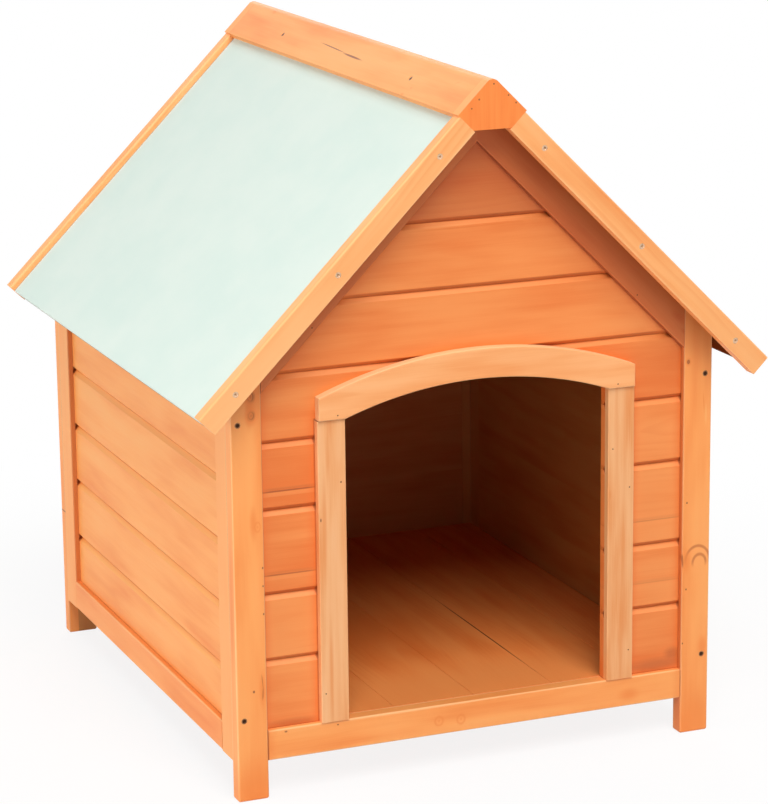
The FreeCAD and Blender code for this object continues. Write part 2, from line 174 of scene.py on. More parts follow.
class Finish:
    """A procedural material, or the shader of a sky, that is put together from values."""

    def __init__(self, name, sky=None):
        self.material = sky or bpy.data.materials.new(name)
        self.material.use_nodes = True
        self.tree = self.material.node_tree
        self.tree.nodes.clear()
        self.point = None if sky else self.node("ShaderNodeTexCoord", output="Object")

    def node(self, kind, settings=(), sockets=(), output=0):
        """A node of that kind: its settings first, then values or links into its sockets."""
        node = self.tree.nodes.new(kind)
        for name, setting in dict(settings).items():
            setattr(node, name, setting)
        for name, value in dict(sockets).items():
            if isinstance(value, Value):
                self.tree.links.new(value.socket, node.inputs[name])
            else:
                node.inputs[name].default_value = value
        return Value(self, node.outputs[output]) if node.outputs else node

    def maths(self, operation, *values):
        return self.node("ShaderNodeMath", {"operation": operation}, dict(enumerate(values)))

    def least(self, first, second):
        return self.maths("MINIMUM", first, second)

    def most(self, first, second):
        return self.maths("MAXIMUM", first, second)

    def place(self, direction):
        """How far a point of the surface lies along a direction, in metres."""
        settings = {"operation": "DOT_PRODUCT"}
        return self.node("ShaderNodeVectorMath", settings, {0: self.point, 1: direction}, "Value")

    def vector(self, x, y, z):
        return self.node("ShaderNodeCombineXYZ", (), {"X": x, "Y": y, "Z": z})

    def noise(self, x, y, z, detail=2.0, roughness=0.5):
        """Soft noise about 0.5, one feature to a unit; its Color holds three more of them."""
        sockets = {"Vector": self.vector(x, y, z), "Scale": 1.0, "Detail": detail}
        sockets["Roughness"] = roughness
        return self.node("ShaderNodeTexNoise", (), sockets)

    def step(self, value, low, high):
        """0 below low, 1 above high, with a smooth rise between them."""
        settings = {"interpolation_type": "SMOOTHSTEP"}
        sockets = {"Value": value, "From Min": low, "From Max": high}
        return self.node("ShaderNodeMapRange", settings, sockets)

    def fade(self, value, low, high):
        """1 below low, 0 above high, with a smooth fall between them."""
        return 1 - self.step(value, low, high)

    def blend(self, under, over, amount, how="MIX"):
        """One colour over another by an amount."""
        settings = {"data_type": "RGBA", "blend_type": how}
        colours = [value if isinstance(value, Value) else (*value, 1) for value in (under, over)]
        return self.node("ShaderNodeMix", settings, {0: amount, 6: colours[0], 7: colours[1]}, 2)

    def surface(self, colour, roughness, height, depth, **constants):
        """The shader itself. Height, 0 to 1, is raised by depth, in metres."""
        relief = {"Height": height, "Distance": depth, "Strength": 1.0}
        bump = self.node("ShaderNodeBump", (), relief)
        sockets = {"Base Color": colour, "Roughness": roughness, "Normal": bump, **constants}
        shader = self.node("ShaderNodeBsdfPrincipled", (), sockets)
        self.node("ShaderNodeOutputMaterial", (), {"Surface": shader})
        return self.material


# ---------------------------------------------------------------- sizes and colours


def colour_property(name, description, shown):
    return FloatVectorProperty(
        name=name, description=description, subtype="COLOR", size=3, min=0, max=1,
        default=linear(*shown),
    )


def length_property(name, description, millimetres):
    return FloatProperty(
        name=name, description=description, subtype="DISTANCE", unit="LENGTH",
        default=millimetres * MM,
    )


class TimberColours(bpy.types.PropertyGroup):
    """The varnished colour of each group of timber."""

    frame: colour_property("Frame", "Posts, stiles and rails", (255, 164, 88))
    gable: colour_property("Gable boards", "Boards of the front and rear walls", (246, 145, 73))
    side: colour_property("Side boards", "Boards of the side walls", (255, 169, 89))
    batten: colour_property("Gable battens", "Sloping battens of the gables", (216, 116, 54))
    jamb: colour_property("Jambs", "Upright trim beside the doorway", (243, 176, 118))
    header: colour_property("Header", "Arched trim over the doorway", (255, 181, 118))
    floor: colour_property("Floor", "Floor planks and bearers", (244, 140, 68))
    barge: colour_property("Barge boards", "Boards along the gable slopes", (252, 174, 106))
    ridge: colour_property("Ridge boards", "Boards of the boxed ridge", (252, 166, 92))
    plate: colour_property("Ridge plates", "Five-sided ends of the ridge", (252, 142, 64))
    deck: colour_property("Roof deck", "Bare boards under the felt", (122, 66, 34))
    arris: colour_property("Worn arris", "Pale wood along rubbed edges", (255, 206, 150))
    knot: colour_property("Knot", "Heart of a knot", (128, 58, 26))
    crack: colour_property("Crack", "Cracks, pits and pinholes", (112, 50, 22))
    # The crease colour is painted shade where pieces meet, on the downward slopes of the grooves
    # and on the edges of the gable battens; it is also the brown of the arcs in the grain and of
    # the dark patches above the front rail.
    crease: colour_property("Crease", "Stain gathered where pieces meet", (176, 84, 36))
    # Painted shade inside the house: the inside faces are multiplied by this colour.
    indoors: colour_property("Indoors", "What the inside faces keep of the colour", (210, 224, 230))


class TimberGrain(bpy.types.PropertyGroup):
    """The size and depth of the grain."""

    ring: length_property("Growth ring", "Width of one growth ring", 6.5)
    fibre: length_property("Fibre", "Width of one streak of fibres", 1.3)
    relief: length_property("Relief", "Depth of the grain under the varnish", 0.06)
    arris: length_property("Arris wear", "Width of the rubbed edge", 2.4)
    latewood: FloatProperty(
        name="Latewood", description="Strength of the dark ring lines", default=0.34, min=0, max=1
    )
    gloss: FloatProperty(
        name="Roughness", description="Roughness of the varnish", default=0.44, min=0, max=1
    )


class FeltFinish(bpy.types.PropertyGroup):
    """Mineral felt of the roof."""

    face: colour_property("Felt", "Mineral face", (224, 236, 227))
    mottle: colour_property("Mottling", "Clouds in the mineral face", (217, 233, 224))
    # Painted shade: the underside of the fold at the eaves and a line where the felt ends at the
    # barge boards take this colour.
    edge: colour_property("Edge", "Underside of the fold at the eaves", (112, 70, 46))
    granule: length_property("Granule", "Size of one mineral granule", 0.9)


class FasteningSizes(bpy.types.PropertyGroup):
    """Screws and brads."""

    head: length_property("Screw head", "Radius of a countersunk head", 3.7)
    cone: length_property("Screw cone", "Depth of the countersunk cone", 2.6)
    sink: length_property("Screw sink", "How far a head lies under the wood", 0.3)
    shank: length_property("Screw shank", "Radius of the shank", 1.7)
    recess: length_property("Cross recess", "Depth of the driver's cross", 1.5)
    brad: length_property("Brad head", "Radius of a brad's head", 0.9)
    pit: length_property("Brad pit", "Depth of the pit that a brad leaves", 0.35)
    turns: IntProperty(name="Sides", description="Sides of a round head", default=40, min=12)


class StudioSetting(bpy.types.PropertyGroup):
    """Camera, lamps and floor."""

    azimuth: FloatProperty(
        name="Azimuth", description="Camera's way round from the front", subtype="ANGLE",
        default=radians(-21.995),
    )
    elevation: FloatProperty(
        name="Elevation", description="Camera's height angle", subtype="ANGLE",
        default=radians(14.289),
    )
    roll: FloatProperty(
        name="Roll", description="Camera's lean", subtype="ANGLE", default=radians(-0.664)
    )
    distance: length_property("Distance", "From the camera to the aim", 4032.1)
    aim: length_property("Aim height", "Height of the aim over the ground", 400.0)
    shift_right: length_property("To the right", "Camera's move to its right", 22.07)
    shift_up: length_property("Upwards", "Camera's move upwards", -28.69)
    lens: FloatProperty(
        name="Lens", description="Focal length on a 36 mm high frame, in millimetres",
        default=141.54,
    )
    floor: length_property("Floor radius", "Radius of the studio floor", 14000.0)
    sky: FloatProperty(name="Sky", description="Strength of the even light", default=0.14, min=0)


GROUPS = {
    "dog_house_colours": TimberColours,
    "dog_house_grain": TimberGrain,
    "dog_house_felt": FeltFinish,
    "dog_house_fastenings": FasteningSizes,
    "dog_house_studio": StudioSetting,
}

# ---------------------------------------------------------------- timber


class Mark:
    """A mark on a piece: its kind, and its place and reach in millimetres.

    The kinds are knot, whorl, arc, stain, smudge, pale, pit and crack. The place is given along
    and across the piece, as its lie says, and the turn in radians.
    """

    def __init__(self, kind, along, across, long_reach, cross_reach, turn=0.0):
        self.kind = kind
        self.along = along * MM
        self.across = across * MM
        self.long_reach = long_reach * MM
        self.cross_reach = cross_reach * MM
        self.turn = turn

    def distance(self, finish, along, across):
        """1 on an ellipse about the mark, less inside it."""
        east = along - self.along
        north = across - self.across
        forward = (east * cos(self.turn) + north * sin(self.turn)) / self.long_reach
        aside = (north * cos(self.turn) - east * sin(self.turn)) / self.cross_reach
        return (forward * forward + aside * aside) ** 0.5


def scratch(start, end, width, kind="crack"):
    """A thin mark from one place to another, each given along and across the piece."""
    run = end[0] - start[0]
    rise = end[1] - start[1]
    middle = ((start[0] + end[0]) / 2, (start[1] + end[1]) / 2)
    return Mark(kind, *middle, hypot(run, rise) / 2, width / 2, atan2(rise, run))


def board_chances(finish, seed, number):
    """Four numbers from 0 to 1 that belong to one board.

    A node with several boards gives the board's number as a value, and then they are values.
    """
    if number is None:
        return np.random.RandomState(seed).random_sample(4).tolist()
    settings = {"noise_dimensions": "1D"}
    chance = finish.node("ShaderNodeTexWhiteNoise", settings, {"W": number + seed % 97}, "Color")
    parts = finish.node("ShaderNodeSeparateColor", (), {"Color": chance})
    return [parts, parts.other("Green"), parts.other("Blue"), chance.other("Value")]


def jointed(finish, joint, across, ripple, outside, colour, pale):
    """The colour of a piece with one joint laid on it: painted shade and a painted highlight on its
    groove's two slopes, and its line.

    Joint is (place across, dark line, painted shade above it, painted highlight below it).
    """
    colours = bpy.context.scene.dog_house_colours
    place, dark, above, below = joint
    over = across - place * MM
    # The slope below the joint faces up and gets a painted highlight; the slope above faces down
    # and gets painted shade.
    painted_highlight = finish.step(over, -6.2 * MM, -4.8 * MM) * finish.fade(over, -1.2 * MM, -0.2 * MM)
    upper = finish.step(over, 0, 0.6 * MM) * finish.fade(over, 3.0 * MM, 6.0 * MM)
    line = finish.fade(abs(over - 0.4 * MM) * (1.3 - ripple * 0.6), 0.3 * MM, 1.1 * MM)
    colour = finish.blend(colour, pale, painted_highlight * outside * below)
    colour = finish.blend(colour, colours.crease, upper * outside * above)
    return finish.blend(colour, colours.crack, line * outside * dark)


def marked(finish, mark, distance, over, ripple, colour, deep, pale):
    """The colour of a piece with one mark laid on it, and how far the mark sinks into it.

    Distance is 1 on the mark's outline, over is how far a point lies past its middle along the
    piece, and ripple roughens the outline.
    """
    colours = bpy.context.scene.dog_house_colours
    rough = distance + (ripple - 0.5) * 0.5
    if mark.kind == "knot":
        halo = finish.fade(rough, 0.8, 2.0)
        heart = finish.fade(rough, 0.55, 1.0)
        turn = finish.maths("SINE", distance * 15) * 0.25 + 0.75
        colour = finish.blend(colour, deep, halo * 0.55)
        return finish.blend(colour, colours.knot, heart * turn * 0.85), heart * 0.5
    if mark.kind in ("pit", "crack"):
        gap = finish.fade(rough, 0.45, 1.1)
        return finish.blend(colour, colours.crack, gap * 0.85), gap * 0.5
    if mark.kind == "whorl":
        turn = finish.maths("SINE", distance * 9 + ripple * 3) * 0.5 + 0.5
        return finish.blend(colour, deep, finish.fade(rough, 0.6, 1.3) * turn * 0.6), 0.0
    if mark.kind == "arc":
        away = abs(distance - 1) * mark.cross_reach
        upper = finish.step(over, -6 * MM, 4 * MM)
        line = finish.fade(away, 0.5 * MM, 2.4 * MM) * upper
        return finish.blend(colour, colours.crease, line * 0.6), 0.0
    tint, end, strength = {
        "stain": (deep, 1.3, 0.7),
        "dark_patch": (colours.crease, 1.3, 0.5),
        "pale": (pale, 1.2, 0.8),
    }[mark.kind]
    return finish.blend(colour, tint, finish.fade(rough, 0.2, end) * strength), 0.0


def timber(
    name, lie, shown, spans,
    number=None, marks=(), joints=(), edge=None,
    straight=0.0, figure=1.0, wear=0.15, stripes=1.0, lift=0.0,
    crease=None, soft=0.5, indoors=False, sheen=0.5,
):
    """Varnished softwood, worked out in the solid.

    The tone drifts in clouds and streaks that are drawn out along the grain. Growth rings are
    cylinders about a wandering pith under the face, so a face cut along them shows arches and
    an end shows arcs; they fade in and out, and a knot bends them round itself.

    Edge colours what is off the outer face. Straight stands for quarter-sawn wood. Figure,
    stripes and wear are the strengths of the rings, the streaks and the rubbed edges, and lift
    makes the piece paler or deeper. Crease gives how far a point lies from the neighbours, for
    painted shade of strength soft beside them and a painted dark line along them. Indoor shade
    darkens the faces inside the house with painted shade, and sheen is the strength of the
    varnish's reflection.
    """
    scene = bpy.context.scene
    grain = scene.dog_house_grain
    colours = scene.dog_house_colours
    finish = Finish(name)
    seed = crc32(name.encode()) % 100000
    chances = board_chances(finish, seed, number(finish) if number else None)
    along, across, through = (finish.place(direction) for direction in lie)
    middles = [(low + high) / 2 for low, high in spans]
    shift = chances[2] * 9.0

    # Knots push the rings aside, so they come before the rings.
    push = 0.0
    placed = [(mark, mark.distance(finish, along, across)) for mark in marks]
    for mark, distance in placed:
        if mark.kind == "knot":
            push = push + finish.fade(distance, 0.4, 3.2) * (mark.cross_reach * 1.4)

    wander = finish.noise(along * 1.7 + shift, across * 3.0, through * 3.0 + seed % 13, 1.0)
    drift = finish.node("ShaderNodeSeparateColor", (), {"Color": wander.other("Color")})
    pith_side = (chances[0] - 0.5) * 0.09 * (1 - straight) + 0.12 * straight
    pith_depth = 0.016 + chances[1] * 0.05 + 0.10 * straight
    side = across - middles[1] + pith_side + (drift - 0.5) * (0.10 * (1 - 0.8 * straight))
    sway = (drift.other("Green") - 0.5) * 0.09 * (1 - straight)
    depth = through - middles[2] + pith_depth + sway
    radius = (side * side + depth * depth) ** 0.5 + push
    ripple = finish.noise(along * 7 + shift, across * 90, through * 90, 2.0)
    ring = finish.maths("FRACT", radius / grain.ring + ripple * 0.9)
    patch = finish.noise(along * 4 + shift, across * 30, through * 30 + 5, 1.0)
    shows = finish.step(patch, 0.46, 0.66) + 0.12
    late = finish.step(ring, 0.30, 0.84) * finish.fade(ring, 0.88, 1.0) * shows

    width = grain.fibre
    fibre = finish.noise(along * 16 + shift, across / width, through / width, 3.0, 0.6)
    streak = finish.noise(along * 6 + shift, across * 75, through * 75, 3.0, 0.5)
    cloud = finish.noise(along * 5 + shift, across * 24, through * 24 + seed % 7, 2.0, 0.5)

    body = Vector(shown)
    deep = Vector((body[0] * 0.90, body[1] * 0.66, body[2] * 0.44))
    pale = Vector((min(1.0, body[0] * 1.04), body[1] * 1.20, body[2] * 1.42))
    tone = cloud * 0.9 + streak * (0.44 * stripes) + fibre * (0.18 * stripes)
    tone = tone + (chances[3] - 0.5) * 0.05 + lift
    usual = 0.45 + 0.31 * stripes
    colour = finish.blend(deep, body, finish.step(tone, usual - 0.34, usual + 0.12))
    colour = finish.blend(colour, pale, finish.step(tone, usual - 0.02, usual + 0.36) * 0.6)
    colour = finish.blend(colour, deep, late * grain.latewood * figure)

    gaps = []
    for place, (low, high) in zip((along, across, through), spans):
        middle = (low + high) / 2
        half = (high - low) / 2
        gaps.append(half - abs(place - middle))
    rub = grain.arris * (patch * 2.2 - 0.1) + 0.0002
    worn = finish.fade(finish.most(gaps[1], gaps[2]) / rub, 0.2, 1.0)
    colour = finish.blend(colour, colours.arris, worn * wear)
    if edge is not None:
        colour = finish.blend(colour, edge, finish.step(gaps[2], 0.3 * MM, 0.9 * MM))

    height = fibre * 0.45 + late * 0.55
    outside = 1.0
    # Painted shade on the faces inside the house, where joints and creases are left off.
    if indoors:
        indoor_shade_mask = finish.step(INDOORS_HALF_DEPTH - abs(finish.place(Y)), 0, 1 * MM)
        indoor_shade_mask = indoor_shade_mask * finish.step(INDOORS_HALF_WIDTH - abs(finish.place(X)), 0, 1 * MM)
        colour = finish.blend(colour, colours.indoors, indoor_shade_mask, "MULTIPLY")
        outside = 1 - indoor_shade_mask
    for joint in joints:
        colour = jointed(finish, joint, across, ripple, outside, colour, pale)
    # Painted shade beside the neighbouring pieces, and a darker painted line along them.
    if crease is not None:
        near = crease(finish)
        shade = finish.fade(near * (1.6 - cloud), 0, 14 * MM)
        line = finish.fade(near, 0.4 * MM, 1.8 * MM)
        colour = finish.blend(colour, deep, shade * outside * soft)
        colour = finish.blend(colour, colours.crease, line * outside * 0.6)
    for mark, distance in placed:
        over = along - mark.along
        colour, sunk = marked(finish, mark, distance, over, ripple, colour, deep, pale)
        height = height - sunk

    roughness = grain.gloss + (1 - fibre) * 0.14 + worn * 0.10
    shine = {"Specular IOR Level": sheen}
    return finish.surface(colour, roughness, height, grain.relief, **shine)


def dress(node, material):
    """Gives a node of the frame its finish, in every material slot it has."""
    for slot in NODES[node].material_slots:
        slot.material = material


def dress_timber(node, lie, shown, **options):
    dress(node, timber(node, lie, shown, reach(node, lie), **options))


def rows(direction, first, cover):
    """The number of the board at a point, counted from its first joint."""
    def number(finish):
        return finish.maths("FLOOR", (finish.place(direction) - first * MM) / (cover * MM))

    return number


# The distances below place the painted shade that timber lays beside neighbouring pieces.
def gable_edges(finish):
    """How far a point of the front or rear boards lies from the posts, battens or rail."""
    side = abs(finish.place(X))
    height = finish.place(Z)
    slope = (BATTEN_PEAK - side - height) * SLOPE
    return finish.least(finish.least(POST_EDGE - side, slope), height - RAIL_TOP)


def front_edges(finish):
    """How far a point of the front boards lies from the frame or the jambs."""
    side = abs(finish.place(X))
    jamb = abs(side - JAMB_MIDDLE) - JAMB_HALF_WIDTH
    doorway = finish.most(jamb, finish.place(Z) - HEADER_FOOT)
    return finish.least(gable_edges(finish), doorway)


def side_edges(finish):
    """How far a point of the side boards lies from the stiles and rails."""
    height = finish.place(Z)
    stiles = STILE_EDGE - abs(finish.place(Y))
    return finish.least(stiles, finish.least(height - RAIL_TOP, TOP_RAIL_FOOT - height))


def post_reveal(finish):
    """How far a point of a post lies from its edge towards the boards."""
    return abs(finish.place(X)) - POST_EDGE + 0.2 * MM


def stile_reveal(finish):
    """How far a point of a side stile lies from its edge towards the boards."""
    return abs(finish.place(Y)) - STILE_EDGE + 0.2 * MM


def beside_posts(finish):
    """How far a point of a front or rear rail lies from the posts."""
    return POST_EDGE - abs(finish.place(X))


# Marks on the posts and rails.
FRAME_MARKS = {
    "front_left_post": (
        Mark("knot", 488, -283, 9.5, 6.0),
        Mark("knot", 466, -282.5, 8.0, 5.5),
        Mark("stain", 476, -284, 26, 6),
        Mark("whorl", 333.3, -277.5, 8, 5),
        Mark("stain", 338, -283, 22, 5),
        Mark("pit", 283.6, -272.4, 1.8, 1.1),
        Mark("pit", 261.7, -272.4, 1.5, 1.0),
        Mark("pit", 227.8, -272.4, 1.5, 1.0),
        Mark("pit", 134.6, -286.4, 1.8, 1.5),
        scratch((122, -276.0), (140, -274.6), 3.0),
        scratch((134, -274.6), (156, -276.6), 1.5),
        Mark("stain", 136, -276, 24, 4),
        Mark("stain", 8, -288, 46, 34),
        Mark("stain", 2, -284, 8, 14),
    ),
    "front_right_post": (
        Mark("arc", 221, 291.5, 19, 16.5),
        Mark("arc", 218, 294, 11, 9),
        scratch((233, 270.6), (213, 272), 2.6),
        Mark("stain", 222, 276, 18, 6),
        Mark("knot", 472.5, 276, 3.4, 2.6),
        scratch((434, 296.5), (406, 298.3), 2.0, "stain"),
        Mark("pale", 405, 300.5, 16, 1.8),
        Mark("stain", 14, 289, 52, 34),
        Mark("stain", 110, 300, 14, 7),
        Mark("pit", 296.1, 276.3, 1.5, 1.2),
        Mark("pit", 186, 276.5, 1.4, 1.1),
        Mark("pit", 117, 272.5, 1.4, 1.1),
    ),
    "rear_left_post": (Mark("crack", 172, -306, 1.5, 4.0),),
    "front_bottom_rail": (
        Mark("whorl", -53.0, 64.3, 7.5, 8.5),
        Mark("whorl", -24.4, 62.3, 7.5, 8.5),
        Mark("stain", 200, 62, 16, 9),
        Mark("pit", -247.8, 80.0, 2.0, 1.2),
        Mark("pit", -182.4, 79.0, 1.4, 1.1),
    ),
}


class DOGHOUSE_OT_frame_timber(bpy.types.Operator):
    """Finish the posts, stiles and rails"""

    bl_idname = "doghouse.frame_timber"
    bl_label = "Frame timber"

    def execute(self, context):
        shown = context.scene.dog_house_colours.frame
        for end, toward in zip(ENDS, (-1, 1)):
            back = toward * STILE_BACK
            seam = scratch((40, back), (506, back), 1.8)
            for side in SIDES:
                post = f"{end}_{side}_post"
                stile = f"{end}_{side}_side_stile"
                # The crease of posts and stiles is a painted dark line of shade along their
                # reveals.
                dress_timber(
                    post, STANDING, shown, marks=FRAME_MARKS.get(post, ()), indoors=True,
                    figure=0.3, wear=0.5, stripes=0.6, crease=post_reveal, soft=0,
                )
                dress_timber(
                    stile, STANDING_AT_SIDE, shown, marks=(seam,), indoors=True, lift=0.3,
                    figure=0.3, wear=0.3, stripes=0.6, crease=stile_reveal, soft=0,
                )
            rail = f"{end}_bottom_rail"
            # The rail's crease is painted shade and a painted dark line beside the posts.
            dress_timber(
                rail, ACROSS_GABLE, shown,
                marks=FRAME_MARKS.get(rail, ()), figure=0.4, wear=0.5, crease=beside_posts,
            )
        for side in SIDES:
            rail = f"{side}_bottom_rail"
            dress_timber(rail, ALONG_SIDE, shown, figure=0.3, wear=0.5, stripes=0.7)
            dress_timber(f"{side}_top_rail", ALONG_SIDE, shown)
        return {"FINISHED"}


# Marks on the front boards.
BOARD_MARKS = {
    "7": (
        Mark("pale", -40, 663.6, 52, 1.6),
        Mark("pale", 55, 666, 34, 1.2),
        Mark("stain", -20, 660.5, 60, 1.3),
    ),
    # The dark patches make the first boards darker just above the rail.
    "1_right": (
        Mark("dark_patch", 240, 92, 46, 10),
        Mark("dark_patch", 262, 104, 12, 9),
    ),
    "1_left": (Mark("dark_patch", -236, 87, 40, 6),),
}

# Faint lines along the short front boards, given as joints, with painted shade above and a painted
# highlight below.
BOARD_LINES = {
    "4_left": [(370.7, 0.55, 0.3, 0.45)],
    "3_left": [(270.3, 0.45, 0.2, 0.35)],
    "3_right": [(277.5, 0.2, 0.15, 0.25)],
    "2_right": [(198.6, 0.1, 0.15, 0.2)],
}

# How much paler or deeper a front board is. Boards 7 and 5 are deeper as painted shade under the
# roof's overhang.
BOARD_LIFTS = {
    "7": -0.08, "5": -0.14,
    "4_left": -0.22, "3_left": -0.14, "2_left": 0.2, "1_left": 0.06,
    "4_right": 0.04, "3_right": 0.18, "2_right": 0.04, "1_right": -0.02,
}


class DOGHOUSE_OT_wall_boards(bpy.types.Operator):
    """Finish the tongue-and-groove boards of all four walls"""

    bl_idname = "doghouse.wall_boards"
    bl_label = "Wall boards"

    def execute(self, context):
        colours = context.scene.dog_house_colours
        # Each joint: its height, dark line, painted shade above and painted highlight below; crease
        # lays painted shade beside the frame and the door trim.
        joints = [(joint, 0.35, 0.6, 0.6) for joint in GABLE_JOINTS]
        for row in range(1, 9):
            boards = [f"{row}_{side}" for side in SIDES] if row < 5 else [str(row)]
            for board in boards:
                own = joints[max(row - 2, 0):row] + BOARD_LINES.get(board, [])
                # Board 8, the top of the gable, takes the deeper batten colour as painted shade
                # under the roof's overhang.
                dress_timber(
                    f"front_board_{board}", ACROSS_GABLE,
                    colours.batten if row == 8 else colours.gable,
                    joints=own, marks=BOARD_MARKS.get(board, ()), lift=BOARD_LIFTS.get(board, 0.0),
                    figure=0.5, wear=0, crease=front_edges,
                )
        gable = rows(Z, GABLE_JOINTS[0], GABLE_COVER)
        dress_timber(
            "rear_boards", ACROSS_GABLE, colours.gable,
            number=gable, joints=joints, figure=0.5, wear=0, crease=gable_edges, indoors=True,
        )
        # The side joints keep a dark line and a painted highlight below it; crease lays painted
        # shade beside the stiles and rails.
        joints = [(joint, 0.3, 0, 0.9) for joint in SIDE_JOINTS]
        for side in SIDES:
            dress_timber(
                f"{side}_boards", ALONG_SIDE, colours.side,
                number=rows(Z, SIDE_JOINTS[0], SIDE_COVER), joints=joints,
                figure=0.2, wear=0, stripes=0.7, crease=side_edges, indoors=True,
            )
        blotch = (Mark("stain", -189, 560, 14, 6), Mark("stain", -168, 552, 8, 3))
        for end in ENDS:
            for side, lie in zip(SIDES, (LEFT_RAKE, RIGHT_RAKE)):
                spots = blotch if side == "right" else ()
                batten = f"{end}_{side}_gable_batten"
                # The batten's edges take the crease colour as painted shade under the barge boards.
                dress_timber(
                    batten, lie, colours.batten,
                    marks=spots, wear=0, figure=0.3, edge=colours.crease,
                )
        return {"FINISHED"}


# Marks on the front jambs, by side.
JAMB_MARKS = {
    "left": (
        Mark("pit", 375.8, -174.7, 1.4, 1.2),
        Mark("pit", 332.5, -200.4, 2.6, 1.0),
        Mark("crack", 451.2, -187, 0.9, 40),
        Mark("stain", 150, -190, 60, 3),
        Mark("stain", 320, -196, 70, 3),
    ),
    "right": (
        Mark("stain", 319.2, 171.3, 7, 2.2),
        Mark("pit", 326.1, 197.4, 1.3, 1.1),
        Mark("crack", 451.2, 187, 0.9, 40),
    ),
}


class DOGHOUSE_OT_door_trim(bpy.types.Operator):
    """Finish the jambs and the arched header"""

    bl_idname = "doghouse.door_trim"
    bl_label = "Door trim"

    def execute(self, context):
        colours = context.scene.dog_house_colours
        for side in SIDES:
            dress_timber(
                f"door_{side}_jamb", STANDING, colours.jamb,
                marks=JAMB_MARKS[side], straight=0.9, stripes=2.0, wear=0.1,
            )
        dress_timber("door_header", ACROSS_GABLE, colours.header, edge=colours.arris, wear=0.3)
        return {"FINISHED"}


class DOGHOUSE_OT_floor_timber(bpy.types.Operator):
    """Finish the floor planks and their bearers"""

    bl_idname = "doghouse.floor_timber"
    bl_label = "Floor"

    def execute(self, context):
        shown = context.scene.dog_house_colours.floor
        plank = rows(X, FIRST_PLANK, PLANK_COVER)
        marks = (
            scratch((-340, 104), (60, 104), 2.6),
            # A painted pool of light on the planks by the doorway, and painted shade in the middle
            # of the floor.
            Mark("pale", -310, 0, 120, 420),
            Mark("stain", -60, -40, 140, 90),
        )
        dress_timber("floor_planks", FLOOR_PLANK, shown, number=plank, marks=marks, wear=0)
        dress_timber("floor_bearers", FLOOR_BEARER, shown)
        return {"FINISHED"}


# The x and z of the brads in the ridge plates, in millimetres.
PLATE_BRADS = ((-16.7, 816.3), (-26.0, 806.5), (19.6, 819.0), (29.0, 809.8), (1.5, 833.0))


# Marks on the ridge boards, by side.
RIDGE_MARKS = {
    "left": (
        scratch((96, -566.5), (-10, -563), 2.2),
        scratch((12, -562.5), (-62, -561), 3.6),
        Mark("stain", 297, -586.5, 7, 4),
        Mark("stain", -228, -537.2, 4, 2),
        Mark("stain", -237, -548.2, 3, 2),
        scratch((-326, -571), (-341, -577), 1.2, "stain"),
    ),
}


class DOGHOUSE_OT_roof_trim(bpy.types.Operator):
    """Finish the barge boards, the boxed ridge, the deck and its battens"""

    bl_idname = "doghouse.roof_trim"
    bl_label = "Roof trim"

    def execute(self, context):
        colours = context.scene.dog_house_colours
        rakes = dict(zip(SIDES, (LEFT_RAKE, RIGHT_RAKE)))
        ridges = dict(zip(SIDES, (LEFT_RIDGE, RIGHT_RIDGE)))
        bleached = {"front_left_barge_board": (Mark("pale", -150, 565, 170, 70),)}
        for side in SIDES:
            for end in ENDS:
                barge = f"{end}_{side}_barge_board"
                dress_timber(
                    barge, rakes[side], colours.barge,
                    marks=bleached.get(barge, ()), wear=0.3, lift=0.06,
                )
            ridge = f"ridge_board_{side}"
            cracks = RIDGE_MARKS.get(side, ())
            dress_timber(ridge, ridges[side], colours.ridge, marks=cracks, figure=0.5)
            dress_timber(f"roof_deck_{side}", ridges[side], colours.deck, sheen=0)
            dress_timber(f"roof_braces_{side}", rakes[side], colours.batten, sheen=0)
        brads = [Mark("pit", z, x, 1.3, 1.2) for x, z in PLATE_BRADS]
        for end in ENDS:
            plate = f"{end}_ridge_plate"
            dress_timber(
                plate, STANDING, colours.plate,
                marks=brads, edge=colours.ridge, straight=0.9, wear=0, stripes=1.5,
            )
        return {"FINISHED"}


# ---------------------------------------------------------------- felt


class DOGHOUSE_OT_roof_felt(bpy.types.Operator):
    """Finish the mineral felt of both slopes"""

    bl_idname = "doghouse.roof_felt"
    bl_label = "Roof felt"

    def execute(self, context):
        felt = context.scene.dog_house_felt
        finish = Finish("mineral_felt")
        along = finish.place(Y)
        up = finish.place(Z)
        out = finish.place(X)
        cloud = finish.noise(along * 14, up * 18, out * 18, 3.0, 0.5)
        patch = finish.noise(along * 3 + 5, up * 3, out * 3, 2.0)
        size = felt.granule
        granule = finish.noise(along / size, up / size, out / size, 2.0, 0.7)
        mottled = finish.step(cloud * 0.45 + patch * 0.55, 0.34, 0.66)
        colour = finish.blend(felt.mottle, felt.face, mottled)
        pitted = finish.fade(granule, 0.28, 0.42)
        colour = finish.blend(colour, (0.62, 0.70, 0.66), pitted * 0.10)
        # Painted shade on the underside of the fold at the eaves.
        rise = (up + abs(out) - ROOF_PEAK) * SLOPE
        colour = finish.blend(felt.edge, colour, finish.step(rise, 0.5 * MM, 3 * MM))
        # A painted shadow line where the felt ends against the barge boards.
        seam = finish.fade(FELT_END - abs(along), 0.3 * MM, 2.4 * MM)
        colour = finish.blend(colour, felt.edge, seam * 0.7)
        matt = {"Specular IOR Level": 0.0}
        material = finish.surface(colour, granule * 0.2 + 0.72, granule, 0.12 * MM, **matt)
        for side in SIDES:
            dress(f"roof_felt_{side}", material)
        return {"FINISHED"}


# ---------------------------------------------------------------- fastenings


